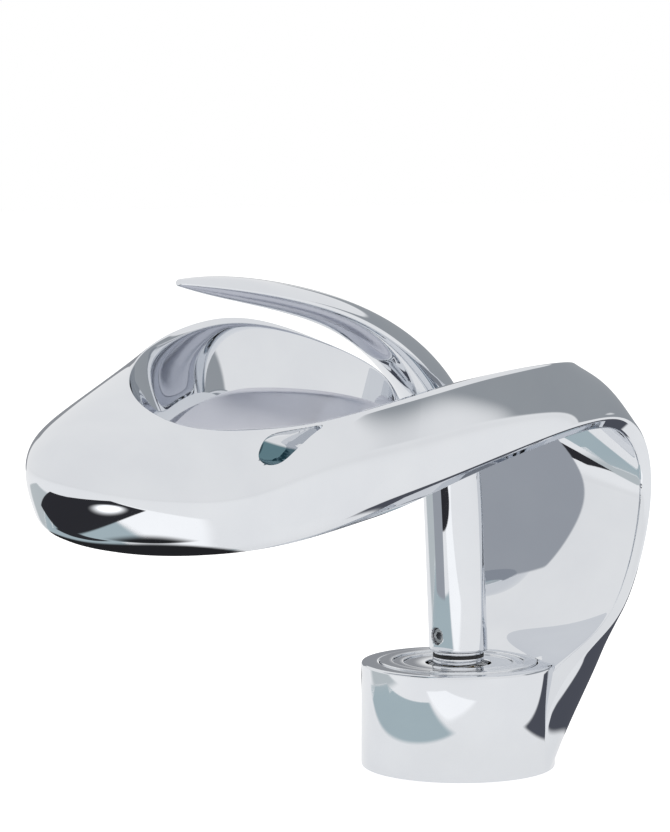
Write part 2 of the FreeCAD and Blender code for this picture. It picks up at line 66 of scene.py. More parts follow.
# Points on Bezier curves: binomial weights of each share times the poles. poles is rows x poles x 3, shares
# is rows x samples.
def bezier(poles, shares):
    degree = poles.shape[1] - 1
    powers = np.arange(degree + 1)
    binomial = np.array({2: (1, 2, 1), 3: (1, 3, 3, 1)}[degree])
    s = shares[..., None]
    return np.einsum("rsp,rpc->rsc", binomial * s ** powers * (1 - s) ** (degree - powers), poles)


# Shares from 0 to 1 that crowd a little towards both ends: half even steps, half a cosine.
def crowdedShares(count):
    even = np.linspace(0, 1, count)
    return 0.5 * even + 0.25 * (1 - np.cos(np.pi * even))


# Closed section rings with rounded corners. Each side is trimmed at both ends by the rounding there, and a
# parabola aimed at the old corner joins it to the next side.
def roundedRings(sides, roundings, counts, cornerCount=6):
    rows = len(roundings)
    bodies = []
    for k, side in enumerate(sides):
        trial = bezier(side, np.tile(np.linspace(0, 1, 9), (rows, 1)))
        length = np.linalg.norm(np.diff(trial, axis=1), axis=2).sum(1) + 1e-6
        startTrim = np.minimum(roundings[:, k] / length, longestTrim)[:, None]
        endTrim = np.minimum(roundings[:, (k + 1) % len(sides)] / length, longestTrim)[:, None]
        bodies.append(bezier(side, startTrim + crowdedShares(counts[k]) * (1 - startTrim - endTrim)))
    turn = np.tile(np.linspace(0, 1, cornerCount + 2)[1:-1], (rows, 1))
    parts = []
    for k, body in enumerate(bodies):
        after = (k + 1) % len(sides)
        corner = np.stack([body[:, -1], sides[after][:, 0], bodies[after][:, 0]], 1)
        parts += [body, bezier(corner, turn)]
    return np.concatenate(parts, axis=1)


# Points and faces of a grid of closed rings: quads between neighbouring rings, and a fan round the middle
# of the first and last ring. In a hollow one the last ring meets the first and there is no fan.
def ringShell(grid, hollow=False):
    rings, around = grid.shape[:2]
    index = np.arange(rings * around).reshape(rings, around)
    beside = np.roll(index, -1, axis=1)
    if hollow:
        above, aboveBeside = np.roll(index, -1, axis=0), np.roll(beside, -1, axis=0)
        quads = np.stack([index, beside, aboveBeside, above], -1).reshape(-1, 4)
        return grid.reshape(-1, 3), quads, np.zeros((0, 3), int)
    quads = np.stack([index[:-1], beside[:-1], beside[1:], index[1:]], -1).reshape(-1, 4)
    points = np.concatenate([grid.reshape(-1, 3), grid[0].mean(0)[None], grid[-1].mean(0)[None]])
    first, last = rings * around, rings * around + 1
    startFan = np.stack([np.full(around, first), beside[0], index[0]], -1)
    endFan = np.stack([np.full(around, last), index[-1], beside[-1]], -1)
    return points, quads, np.concatenate([startFan, endFan])


# Six times the volume a shell closes, from the triple product of each triangle's corners; negative means
# inside out.
def shellVolume(points, quads, fans):
    triangles = np.concatenate([quads[:, :3], quads[:, [0, 2, 3]], fans])
    a, b, c = (points[triangles[:, i]] for i in range(3))
    return (a * np.cross(b, c)).sum()


# One mesh object from several shells given in millimetres, faces turned outwards, smooth shaded. Each shell
# has its own finish.
def makePiece(name, grids, body, shellFinishes, replaced, hollow=False):
    points, faces, finishIndex, offset = [], [], [], 0
    for number, grid in enumerate(grids):
        shellPoints, quads, fans = ringShell(grid, hollow)
        if shellVolume(shellPoints, quads, fans) < 0:
            quads, fans = quads[:, ::-1], fans[:, ::-1]
        points.append(shellPoints * millimetre)
        faces += (quads + offset).tolist() + (fans + offset).tolist()
        finishIndex.append(np.full(len(quads) + len(fans), number))
        offset += len(shellPoints)
    mesh = bpy.data.meshes.new(name)
    mesh.from_pydata(np.concatenate(points).tolist(), [], faces)
    mesh.polygons.foreach_set("use_smooth", np.ones(len(faces), bool))
    mesh.set_sharp_from_angle(angle=sharpAngle)
    mesh.update()
    piece = bpy.data.objects.new(name, mesh)
    scene.collection.objects.link(piece)
    for finishName in shellFinishes:
        mesh.materials.append(finishes[finishName])
    mesh.polygons.foreach_set("material_index", np.concatenate(finishIndex).astype(np.int32))
    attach(piece, body)
    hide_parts(*replaced)
    print("made", name, len(faces), "faces")
    return piece


# Rings of a turned piece: a profile of (radius, height) corners, each corner rounded by a parabola, carried
# round the vertical axis.
def turnedRings(profile, rounding, hollow=False, around=192, cornerCount=5):
    corners = np.array(profile, float)
    before, after = np.roll(corners, 1, 0), np.roll(corners, -1, 0)
    towards = lambda end: (end - corners) / np.maximum(np.linalg.norm(end - corners, axis=1), 1e-6)[:, None]
    shorter = np.minimum(np.linalg.norm(before - corners, axis=1), np.linalg.norm(after - corners, axis=1))
    reach = np.minimum(rounding, longestTurnedTrim * shorter)[:, None]
    poles = np.stack([corners + towards(before) * reach, corners, corners + towards(after) * reach], 1)
    if not hollow:
        poles[0, :2], poles[-1, 1:] = corners[0], corners[-1]      # the ends lie on the axis
    line = bezier(poles, np.tile(np.linspace(0, 1, cornerCount), (len(corners), 1))).reshape(-1, 2)
    turn = np.linspace(0, 2 * np.pi, around, endpoint=False)
    radius, height = line[:, :1], line[:, 1:]
    return np.stack([radius * np.cos(turn), radius * np.sin(turn), height + 0 * turn], -1)


# Closed curve through points: a periodic cubic spline, in which one sixth, four sixths and one sixth of three
# neighbouring controls make up each point.
def closedCurve(points, count):
    points = np.array(points, float)
    n = len(points)
    blend = (4 * np.eye(n) + np.roll(np.eye(n), 1, 0) + np.roll(np.eye(n), -1, 0)) / 6
    controls = np.linalg.solve(blend, points)
    at = np.linspace(0, n, count, endpoint=False)
    k, t = at.astype(int), (at % 1)[:, None]
    weights = ((1 - t) ** 3, 3 * t ** 3 - 6 * t ** 2 + 4, -3 * t ** 3 + 3 * t ** 2 + 3 * t + 1, t ** 3)
    return sum(w * controls[(k + i - 1) % n] for i, w in enumerate(weights)) / 6


# Distance of points from a closed outline, negative inside, and the outline's nearest point: nearest point
# on each segment, inside by how often a ray to the side crosses the outline.
def outlineDistance(points, outline):
    start, run = outline, np.roll(outline, -1, 0) - outline
    away = points[:, None] - start
    share = np.clip((away * run).sum(-1) / (run * run).sum(-1), 0, 1)
    gap = away - share[..., None] * run
    distance = np.linalg.norm(gap, axis=-1)
    closest = distance.argmin(1)
    each = np.arange(len(points))
    nearest, distance = points - gap[each, closest], distance[each, closest]
    ends = start + run
    crosses = (start[:, 1] > points[:, None, 1]) != (ends[:, 1] > points[:, None, 1])
    rise = np.where(run[:, 1] == 0, 1e-9, run[:, 1])
    at = start[:, 0] + (points[:, None, 1] - start[:, 1]) * run[:, 0] / rise
    inside = (crosses & (points[:, None, 0] < at)).sum(1) % 2 == 1
    return np.where(inside, -distance, distance), nearest


# Soft step from 0 to 1 between two values: 3 t squared minus 2 t cubed.
def softStep(low, high, value):
    t = np.clip((value - low) / (high - low), 0, 1)
    return t * t * (3 - 2 * t)


# Node material on Object coordinates: noise drives roughness between two values, colour between two tints,
# and a faint bump. Constant numbers sit on the shader itself.
def finish(name, tints, roughness, metallic, grainScale, bumpDepth, stretch=(1, 1, 1)):
    material = bpy.data.materials.new(name)
    material.use_nodes = True
    nodes, links = material.node_tree.nodes, material.node_tree.links
    shader = nodes["Principled BSDF"]
    coordinates = nodes.new("ShaderNodeTexCoord")
    scale = nodes.new("ShaderNodeMapping")
    scale.inputs["Scale"].default_value = stretch
    grain = nodes.new("ShaderNodeTexNoise")
    grain.inputs["Scale"].default_value = grainScale
    grain.inputs["Detail"].default_value = 4
    tint = nodes.new("ShaderNodeValToRGB")
    for stop, colour, place in zip(tint.color_ramp.elements, tints, grainRange):
        stop.color = (*colour, 1)
        stop.position = place
    gloss = nodes.new("ShaderNodeMapRange")
    gloss.inputs["To Min"].default_value, gloss.inputs["To Max"].default_value = roughness
    gloss.inputs["From Min"].default_value, gloss.inputs["From Max"].default_value = grainRange
    bump = nodes.new("ShaderNodeBump")
    bump.inputs["Strength"].default_value = 1.0
    bump.inputs["Distance"].default_value = bumpDepth
    links.new(coordinates.outputs["Object"], scale.inputs["Vector"])
    links.new(scale.outputs["Vector"], grain.inputs["Vector"])
    links.new(grain.outputs["Fac"], tint.inputs["Fac"])
    links.new(grain.outputs["Fac"], gloss.inputs["Value"])
    links.new(grain.outputs["Fac"], bump.inputs["Height"])
    links.new(tint.outputs["Color"], shader.inputs["Base Color"])
    links.new(gloss.outputs["Result"], shader.inputs["Roughness"])
    links.new(bump.outputs["Normal"], shader.inputs["Normal"])
    shader.inputs["Metallic"].default_value = metallic
    return material


# Let the tint follow a slope across the object instead of the grain: the place along a direction, from 0 at
# the first distance to 1 at the second.
def slopeTint(material, direction, start, end):
    nodes, links = material.node_tree.nodes, material.node_tree.links
    along = nodes.new("ShaderNodeVectorMath")
    along.operation = "DOT_PRODUCT"
    along.inputs[1].default_value = direction
    ramp = nodes.new("ShaderNodeMapRange")
    ramp.interpolation_type = "SMOOTHSTEP"
    ramp.inputs["From Min"].default_value, ramp.inputs["From Max"].default_value = start, end
    links.new(nodes["Texture Coordinate"].outputs["Object"], along.inputs[0])
    links.new(along.outputs["Value"], ramp.inputs["Value"])
    links.new(ramp.outputs["Result"], nodes["Color Ramp"].inputs["Fac"])


# Two tints, a range of roughness, metallic, grain scale, bump depth in metres and the grain's stretch.
finishes = {
    "polishedChrome": finish(
        "polished_chrome", ((0.755, 0.775, 0.81), (0.785, 0.805, 0.835)), (0.012, 0.03), 1, 60, 2e-7),
    "satinChrome": finish(
        "satin_chrome", ((0.66, 0.67, 0.73), (0.68, 0.69, 0.75)), (0.30, 0.34), 1, 300, 1e-7),
    # Painted shade: a dark teal tint for the scoop's recess, fading to the plain chrome tint towards its top.
    "paintedShadeChrome": finish(
        "painted_shade_chrome", ((0.12, 0.21, 0.245), (0.74, 0.76, 0.79)), (0.03, 0.06), 1, 80, 2e-7),
    "turnedChrome": finish(
        "turned_chrome", ((0.74, 0.755, 0.78), (0.79, 0.81, 0.835)), (0.03, 0.08), 1, 900, 1e-6,
        (1, 1, 0.05)),
    "brass": finish(
        "machined_brass", ((0.62, 0.46, 0.20), (0.76, 0.60, 0.30)), (0.25, 0.42), 1, 700, 6e-6, (1, 1, 0.1)),
    "steel": finish(
        "socket_steel", ((0.30, 0.30, 0.31), (0.46, 0.46, 0.47)), (0.22, 0.38), 1, 900, 4e-6, (0.2, 1, 1)),
    "ceramic": finish(
        "lapped_ceramic", ((0.86, 0.85, 0.81), (0.92, 0.91, 0.88)), (0.10, 0.2), 0, 500, 1e-6),
    "acetal": finish(
        "moulded_acetal", ((0.80, 0.81, 0.82), (0.87, 0.88, 0.89)), (0.38, 0.52), 0, 400, 6e-6),
    "aeratorPlastic": finish(
        "aerator_plastic", ((0.66, 0.68, 0.70), (0.78, 0.80, 0.82)), (0.18, 0.30), 0, 600, 4e-6),
    "rubber": finish(
        "black_rubber", ((0.016, 0.016, 0.017), (0.04, 0.04, 0.042)), (0.55, 0.75), 0, 1500, 1e-5),
}
# The painted shade in the scoop is darkest low down and fades to the plain chrome tint towards the top.
slopeTint(finishes["paintedShadeChrome"], (0, 0.33, 0.94), 0.0588, 0.0618)
print("finishes:", ", ".join(finishes))

# The casting: corner rows A outer low, B outer high, C inner high, D inner low, from the deck to the dish.
casting = {
    "baseRadius": 26.0, "baseHeight": 28.0, "footHeight": 31.0, "stemHeight": 100.8,
    "bandHalfWidth": 25.0, "bandSetback": 50.0, "spoutReach": 132.0,
    "bowlHalfWidth": 30.5, "bowlFront": 46.6, "bowlBack": 62.0, "bowlShiftShare": 0.066,
    "rimHalfWidth": 25.5, "rimHalfLength": 38.5, "rimFront": 43.0, "rimCentre": (1.53, -64.944),
    "rimEdges": (3.2, 3.2, 3.2, 2.4, 1.5, 1.3, 1.3, 1.3, 1.3, 1.3, 1.3, 1.3, 1.3, 1.3, 1.7, 2.4, 3.2),
    "wallInset": 4.0, "wallBulges": (0, 0, 0, -1.5, -5, -8, -8.5, -7, -3.5, 0, 0, 0, 0, 0, 0, 0, 0),
    "innerRise": 4.0, "draft": 0.985,
    "undersideHeight": 75.7, "undersideSlope": (-0.14, 0.10), "undersideNear": 0.05,
    "undersideBlend": 10.0, "lipHeight": 5.4, "lipRoll": 0.85, "lipReach": (5.0, 1.9),
    "floorHeight": 97.0, "floorSlope": (-0.24, 0.03), "floorFall": (-57.0, 0.0052),
    "floorRounding": 2.2, "floorThickness": 2.5, "floorOverlap": 0.6, "floorFlatFrom": 3.0,
    "floorAround": 160, "floorCurlRings": 9, "floorFlatRings": 25,
    "floorInset": (3.4, 2.6, 2.4, 2.2),                            # from the rim's near, far, back and front
    "rootCorners": [                                               # x and y in base radii
        ((0.945, 0.27), (-0.946, 0.27), (-0.54, 0.115), (0.54, 0.115)),
        ((0.945, 0.33), (-0.96, 0.365), (-0.62, 0.19), (0.63, 0.17)),
        ((0.965, 0.34), (-1.0, 0.615), (-0.73, 0.42), (0.78, 0.22)),
        ((0.91, 0.80), (-1.058, 0.904), (-0.88, 0.64), (0.875, 0.65)),
    ],
    "rootHeights": (0.018, 0.357, 0.714, 1.054),                   # in base heights
    "rootBulges": [(0.66, 0.94, 0.0), (1.04, 1.08, 0.0), (1.68, 0.885, 0.04), (1.42, 0.615, 0.19)],
    "rootSpreads": (0.0, 0.0, 0.02, 0.03),
    "strapCorners": [                                              # half widths, setbacks, stem heights
        ((0.90, 0.74, 0.0548), (-1.18, 0.56, 0.0548), (-1.12, 0.48, 0.0548), (0.872, 0.66, 0.0548)),
        ((0.904, 0.87, 0.1486), (-1.228, 0.62, 0.1486), (-1.18, 0.55, 0.1486), (0.88, 0.80, 0.1486)),
        ((0.912, 0.96, 0.2676), (-1.248, 0.66, 0.2676), (-1.20, 0.596, 0.2676), (0.88, 0.896, 0.2676)),
        ((0.92, 1.01, 0.3963), (-1.20, 0.70, 0.4269), (-1.16, 0.636, 0.4171), (0.88, 0.948, 0.3963)),
        ((0.94, 0.98, 0.5262), (-0.96, 0.79, 0.5949), (-0.92, 0.726, 0.5808), (0.88, 0.924, 0.5011)),
        ((0.98, 0.81, 0.6255), (-0.36, 0.86, 0.7139), (-0.36, 0.79, 0.6942), (0.88, 0.77, 0.5906)),
        ((1.00, 0.50, 0.6146), (0.38, 0.71, 0.7586), (0.30, 0.64, 0.7346), (0.868, 0.49, 0.5829)),
        ((1.02, 0.12, 0.5731), (0.852, 0.34, 0.7739), (0.704, 0.30, 0.7586), (0.88, 0.12, 0.5458)),
        ((1.028, -0.32, 0.5207), (0.968, -0.22, 0.7564), (0.808, -0.22, 0.7499), (0.88, -0.32, 0.4935)),
        ((1.048, -0.80, 0.4662), (1.00, -0.72, 0.7128), (0.84, -0.72, 0.7095), (0.88, -0.80, 0.4200)),
    ],
    "strapBulges": [                                               # low, high, spread, inner
        (0.68, 0.62, 0.18, 0.22), (0.54, 0.54, 0.30, 0.22), (0.46, 0.46, 0.333, 0.20),
        (0.44, 0.44, 0.333, 0.20), (0.38, 0.38, 0.333, 0.18), (0.32, 0.32, 0.333, 0.12),
        (0.22, 0.22, 0.333, 0.04), (0.136, 0.136, 0.333, -0.06), (0.096, 0.096, 0.333, -0.10),
        (0.10, 0.10, 0.333, -0.10),
    ],
    "bowlStart": -8.0, "bowlStep": 21.6,
    "bowlRows": [                                # rim rise, low and high bulge, roll, inner rise
        (0.6779, 0.10, 0.10, 0.0, -0.2), (0.6571, 0.175, 0.14, 0.02, -0.2), (0.6506, 0.30, 0.19, 0.05, -0.2),
        (0.6486, 0.72, 0.15, 0.07, -0.2), (0.6783, 1.05, 0.10, 0.08, -0.2), (0.7250, 1.08, 0.07, 0.08, -0.2),
        (0.7720, 0.82, 0.09, 0.08, -0.2), (0.8280, 0.56, 0.18, 0.07, -0.2), (0.8720, 0.40, 0.25, 0.06, -0.2),
        (0.8980, 0.303, 0.25, 0.06, -0.2), (0.8754, 0.26, 0.20, 0.05, 0.0), (0.8165, 0.22, 0.17, 0.03, 0.5),
        (0.7630, 0.21, 0.16, 0.02, 0.75), (0.7237, 0.19, 0.15, 0.02, 0.65), (0.6768, 0.16, 0.13, 0.02, 0.3),
        (0.6582, 0.09, 0.09, 0.0, 0.0), (0.6440, 0.03, 0.04, 0.0, 0.0),
    ],
    "roundings": {"root": (1.0, 1.0, 1.0, 1.0), "strap": (1.0, 1.0, 0.9, 1.0), "bowl": (0.35, 1.0, 1.0, 0.3)},
    "counts": (54, 9, 40, 14),    # samples on the outer, rim, inner and lip sides
    "rowsPerSpan": 11, "fineRowsPerSpan": 40, "fineSpans": (12, 17),
    "eyeOutline": [                                                # y and z of the scoop beside the dish
        (-87.9, 88.65), (-89.75, 90.32), (-88.36, 92.7), (-86.16, 94.6), (-82.35, 95.95), (-75.98, 96.65),
        (-70.3, 97.2), (-69.5, 97.0), (-70.2, 96.5), (-73.65, 94.84), (-79.68, 91.39), (-84.1, 89.02),
    ],
    "eyeDepth": 3.3, "eyeRound": 3.0, "eyeSnap": 0.3, "eyeEdge": 0.05, "eyeSamples": 240,
    "eyeCentre": (-80.0, 92.0), "eyeReach": (14.0, 7.0), "eyeSide": 15.0,    # the region it lies in
    "wellRadius": 21.6, "wellMargin": 0.4,                         # skin in the base stays out of the well
}


# Height of the casting's underside: a plane that leans both ways, bent down softly on the near side.
def undersideAt(x, y):
    slopeX, slopeY = casting["undersideSlope"]
    bend = casting["undersideNear"] * (x + np.hypot(x, casting["undersideBlend"]))
    return casting["undersideHeight"] + slopeX * x + slopeY * (y + casting["spoutReach"] / 2) - bend


# Corners of the bowl's sections: one oval for the outer low edge, one for the rim, and its insets inside.
def bowlCorners():
    rows = np.array(casting["bowlRows"])
    turn = np.radians(casting["bowlStart"] + casting["bowlStep"] * np.arange(len(rows)))
    c, s = np.cos(turn), -np.sin(turn)
    length = np.where(s < 0, casting["bowlFront"], casting["bowlBack"])
    ax = casting["bowlHalfWidth"] * (c - casting["bowlShiftShare"])
    ay = casting["bowlFront"] - casting["spoutReach"] + length * s
    rx, ry = casting["rimCentre"]
    width, reach, wall = casting["rimHalfWidth"], casting["rimHalfLength"], casting["wallInset"]
    height = casting["footHeight"] + rows[:, 0] * casting["stemHeight"]
    edge = np.array(casting["rimEdges"])
    rimReach = np.where(s < 0, casting["rimFront"], reach)
    a = np.stack([ax, ay, undersideAt(ax, ay) + casting["lipHeight"]], -1)
    b = np.stack([rx + width * c, ry + rimReach * s, height], -1)
    innerHeight = height + casting["innerRise"] * rows[:, 4]
    inner = np.stack([rx + (width - edge) * c, ry + (rimReach - edge) * s, innerHeight], -1)
    dx, dy = rx + (width - wall) * c * casting["draft"], ry + (reach - wall) * s * casting["draft"]
    return np.stack([a, b, inner, np.stack([dx, dy, undersideAt(dx, dy)], -1)], 1)


# Poles of the band's four sides in every row: outer and inner cubics bulge along the normal, the rim is a
# parabola and the lip rolls under to the flat underside.
def bandSides():
    root = np.array(casting["rootCorners"]) * casting["baseRadius"]
    rootHeight = np.array(casting["rootHeights"]) * casting["baseHeight"]
    root = np.concatenate([root, np.tile(rootHeight[:, None, None], (1, 4, 1))], -1)
    strap = np.array(casting["strapCorners"])
    strap = strap * (casting["bandHalfWidth"], casting["bandSetback"], casting["stemHeight"])
    strap = strap + (0, 0, casting["footHeight"])
    bowl = bowlCorners()
    corners = np.concatenate([root, strap, bowl])
    rootBulge = np.array(casting["rootBulges"]) * casting["baseRadius"]
    strapBulge = np.array(casting["strapBulges"])
    bowlRow = np.array(casting["bowlRows"])
    strapScale, bowlScale = casting["bandHalfWidth"], casting["rimHalfWidth"]
    column = lambda *parts: np.concatenate(parts)[:, None]
    low = column(rootBulge[:, 0], strapBulge[:, 0] * strapScale, bowlRow[:, 1] * bowlScale)
    high = column(rootBulge[:, 1], strapBulge[:, 1] * strapScale, bowlRow[:, 2] * bowlScale)
    spread = column(casting["rootSpreads"], strapBulge[:, 2], np.full(len(bowl), 1 / 3))
    hollow = column(rootBulge[:, 2], strapBulge[:, 3] * strapScale, casting["wallBulges"])
    roll = column(np.zeros(len(root) + len(strap)), bowlRow[:, 3] * bowlScale)
    a, b, c, d = (corners[:, i] for i in range(4))
    middle = corners.mean(1)
    step = np.arange(len(corners))
    along = middle[np.minimum(step + 1, len(step) - 1)] - middle[np.maximum(step - 1, 0)]
    out = np.cross(b - a, along)
    out = out / np.linalg.norm(out, axis=1)[:, None]
    out = out * np.sign((out * (a + b - c - d)).sum(1))[:, None]
    out[:len(root)] = (0, 1, 0)
    rise = b + c - a - d
    rise = rise / np.linalg.norm(rise, axis=1)[:, None]
    e1, e2 = d + (a - d) / 3, a + (d - a) / 3
    full = (step >= len(root) + len(strap)) & (step < len(step) - 1)
    inward = (d - a) * (1, 1, 0)
    inward = inward / np.linalg.norm(inward, axis=1)[:, None]
    flatReach, rollReach = casting["lipReach"]
    e1[full] = (a + inward * flatReach)[full]
    e1[full, 2] = undersideAt(e1[full, 0], e1[full, 1])
    e2[full] = (a + inward * rollReach - (0, 0, casting["lipHeight"] * casting["lipRoll"]))[full]
    return [
        np.stack([a, a + (b - a) * spread + out * low, b + (a - b) * spread + out * high, b], 1),
        np.stack([b, (b + c) / 2 + rise * roll, c], 1),
        np.stack([c, c + (d - c) / 3 + out * hollow, d + (c - d) / 3 + out * hollow, d], 1),
        np.stack([d, e1, e2, a], 1),
    ]


# Place of y and z in the scoop's region: -1 to 1 both ways.
def eyePlace(points):
    return (points - casting["eyeCentre"]) / casting["eyeReach"]


# Which points lie on the near side, in the scoop's region.
def nearEye(points):
    return (points[..., 0] > casting["eyeSide"]) & (np.abs(eyePlace(points[..., 1:])) < 1).all(-1)


# Terms of a cubic in two directions: every product of powers up to three together.
def cubicTerms(place):
    y, z = place[:, 0], place[:, 1]
    return np.stack([y ** i * z ** j for i in range(4) for j in range(4 - i)], -1)


# The eye-shaped scoop: skin points close to its outline slide onto it along a cubic fitted to the skin, and
# those inside sink by a quarter round that levels out at the full depth.
def scoopEye(grid):
    outerSkin = np.arange(grid.shape[1]) < casting["counts"][0]
    near = outerSkin & nearEye(grid)
    points = grid[near]
    terms = cubicTerms(eyePlace(points[:, 1:]))
    fit = np.linalg.lstsq(terms, points[:, 0], rcond=None)[0]
    outline = closedCurve(casting["eyeOutline"], casting["eyeSamples"])
    distance, nearest = outlineDistance(points[:, 1:], outline)
    onEdge = np.abs(distance) < casting["eyeSnap"]
    moved = np.where(onEdge[:, None], nearest, points[:, 1:])
    slid = cubicTerms(eyePlace(moved)) @ fit - terms @ fit
    inwards = np.where(onEdge, 0, np.clip(-distance / casting["eyeRound"], 0, 1))
    sunk = casting["eyeDepth"] * np.sqrt(inwards * (2 - inwards))
    grid[near] = np.column_stack([points[:, 0] + slid - sunk, moved])
    return grid


# The band's skin: spline the poles along the rows, round the section's corners, keep clear of the cartridge
# inside the base, and cut the eye-shaped scoop.
def bandRings():
    sides = bandSides()
    rowCount = len(sides[0])
    perSpan = np.full(rowCount - 3, casting["rowsPerSpan"])
    perSpan[slice(*casting["fineSpans"])] = casting["fineRowsPerSpan"]
    ends = np.concatenate([[0], np.cumsum(perSpan)])
    places = np.interp(np.arange(ends[-1] + 1), ends, np.arange(rowCount - 2.0))
    weights = splineWeights(rowCount, places)
    roundings = casting["roundings"]
    rounding = np.concatenate([
        np.tile(roundings["root"], (len(casting["rootCorners"]), 1)),
        np.tile(roundings["strap"], (len(casting["strapCorners"]), 1)),
        np.tile(roundings["bowl"], (len(casting["bowlRows"]), 1)),
    ])
    poles = [np.einsum("mr,rpc->mpc", weights, side) for side in sides]
    grid = roundedRings(poles, weights @ rounding, casting["counts"])
    radius = np.hypot(grid[..., 0], grid[..., 1])
    well = casting["wellRadius"]
    buried = (grid[..., 2] < casting["baseHeight"] - casting["wellMargin"]) & (radius < well)
    grid[..., :2] *= np.where(buried, well / np.maximum(radius, 1e-6), 1.0)[..., None]
    return scoopEye(grid)


# The dish floor: an oval disc, its height a leaning plane that falls as a parabola towards the nose and
# curls up by a quarter round at the wall.
def floorRings():
    rx, ry = casting["rimCentre"]
    nearInset, farInset, backInset, frontInset = casting["floorInset"]
    turn = np.linspace(0, 2 * np.pi, casting["floorAround"], endpoint=False)
    width = casting["rimHalfWidth"] - np.where(np.cos(turn) > 0, nearInset, farInset)
    frontLength, backLength = casting["rimFront"] - frontInset, casting["rimHalfLength"] - backInset
    length = np.where(np.sin(turn) < 0, frontLength, backLength)
    rounding = casting["floorRounding"]
    curl = rounding * (1 - np.cos(np.linspace(0, np.pi / 2, casting["floorCurlRings"] + 1)[1:]))
    flat = np.linspace(casting["floorFlatFrom"], width.min(), casting["floorFlatRings"] + 1)[:-1]
    inset = np.concatenate([[-casting["floorOverlap"], 0.0], curl, flat])
    x = rx + (width - inset[:, None]) * np.cos(turn)
    y = ry + (length - inset[:, None] * length / width) * np.sin(turn)
    lift = np.clip(rounding - inset, 0, rounding)
    lift = rounding - np.sqrt(np.maximum(rounding ** 2 - lift ** 2, 0))
    slopeX, slopeY = casting["floorSlope"]
    fallStart, fall = casting["floorFall"]
    height = casting["floorHeight"] + slopeX * x + slopeY * (y + casting["spoutReach"] / 2)
    height = height - fall * np.minimum(y - fallStart, 0) ** 2
    top = np.stack([x, y, height + lift[:, None]], -1)
    under = np.stack([x, y, height - casting["floorThickness"]], -1)
    return np.concatenate([under[::-1], top])


# The base: a turned block with the cartridge well above and, below, the gasket groove and three blind
# holes, which are points of the bottom face lifted inside their circles.
baseBlock = {
    "profile": [
        (0.0, 9.0), (17.6, 9.0), (17.6, 21.8), (20.0, 21.8), (20.0, 24.8), (21.1, 24.8), (21.1, 28.0),
        (26.0, 28.0), (26.0, 0.0), (24.0, 0.0), (24.0, 1.6), (21.0, 1.6), (21.0, 0.0), (20.5, 0.0),
    ],
    "rounding": 0.7, "around": 128, "bottomRadii": (20.4, 0.02), "bottomRings": 44,
    "holes": [(7.2, -3.5, 4.5, 8.0), (-7.2, -3.5, 4.5, 8.0), (0.0, -15.5, 4.0, 7.0)],    # x, y, radius, depth
    "holeEdge": 0.15,
}


def baseRings():
    turned = turnedRings(baseBlock["profile"], baseBlock["rounding"], around=baseBlock["around"])
    turn = np.linspace(0, 2 * np.pi, baseBlock["around"], endpoint=False)
    radius = np.linspace(*baseBlock["bottomRadii"], baseBlock["bottomRings"])[:, None]
    bottom = np.stack([radius * np.cos(turn), radius * np.sin(turn), 0 * radius * turn], -1)
    edge = baseBlock["holeEdge"]
    for x, y, size, depth in baseBlock["holes"]:
        inside = softStep(size + edge, size - edge, np.hypot(bottom[..., 0] - x, bottom[..., 1] - y))
        bottom[..., 2] = np.maximum(bottom[..., 2], inside * depth)
    return np.concatenate([turned, bottom])


# The scoop's faces, those whose middle lies inside its outline, take the painted-shade finish: a dark teal
# tint painted into the recess as shade.
def shadeEye(mesh, finishNumber):
    centres = np.empty(len(mesh.polygons) * 3, np.float32)
    mesh.polygons.foreach_get("center", centres)
    centres = centres.reshape(-1, 3) / millimetre
    near = np.nonzero(nearEye(centres))[0]
    outline = closedCurve(casting["eyeOutline"], casting["eyeSamples"])
    distance, _ = outlineDistance(centres[near, 1:], outline)
    numbers = np.empty(len(mesh.polygons), np.int32)
    mesh.polygons.foreach_get("material_index", numbers)
    numbers[near[distance < -casting["eyeEdge"]]] = finishNumber
    mesh.polygons.foreach_set("material_index", numbers)


# The fourth finish is the painted shade, which shadeEye gives to the scoop's faces.
castingFinishes = ("polishedChrome", "polishedChrome", "satinChrome", "paintedShadeChrome")
spoutCasting = makePiece("spout_casting", [bandRings(), baseRings(), floorRings()], "fixed",
                         castingFinishes, ("spout_body",))
shadeEye(spoutCasting.data, castingFinishes.index("paintedShadeChrome"))

# Turned cover round the stem: three flats that step down, with a fine groove at each step.
coverRing = {
    "profile": [
        (8.8, 24.82), (21.0, 24.82), (21.0, 28.3), (17.64, 28.3), (17.64, 27.4), (17.34, 27.4), (17.34, 28.0),
        (14.7, 28.0), (14.7, 27.1), (14.4, 27.1), (14.4, 27.7), (8.8, 27.7),
    ],
    "rounding": 0.25,
}
coverRings = turnedRings(coverRing["profile"], coverRing["rounding"], True)
makePiece("cover_turned", [coverRings], "fixed", ("turnedChrome",), ("cover_ring",),
          hollow=True)

# Collar under the stem: a turned ring with the groove of its rubber ring and a skirt down to the cover.
stemCollar = {
    "profile": [
        (4.6, 28.4), (6.5, 28.2), (6.9, 28.6), (6.9, 29.4), (5.2, 29.4), (5.2, 30.2), (6.6, 30.2),
        (6.6, 31.0), (4.6, 31.0),
    ],
    "rounding": 0.2, "skirtTop": 29.0, "skirtDrop": 1.2, "skirtSlope": 0.75,
}


# The turned ring with its lower edge let down in front: the drop grows from none at the back to full at the
# front, so that the back clears the cartridge when the lever tilts.
def collarRings():
    rings = turnedRings(stemCollar["profile"], stemCollar["rounding"], True)
    radius = np.hypot(rings[..., 0], rings[..., 1])
    share = np.clip(0.5 - stemCollar["skirtSlope"] * rings[..., 1] / radius, 0, 1)
    rings[..., 2] -= np.where(rings[..., 2] < stemCollar["skirtTop"], stemCollar["skirtDrop"] * share, 0)
    return rings


makePiece("collar_turned", [collarRings()], "lever", ("polishedChrome",), ("stem_collar",),
          hollow=True)

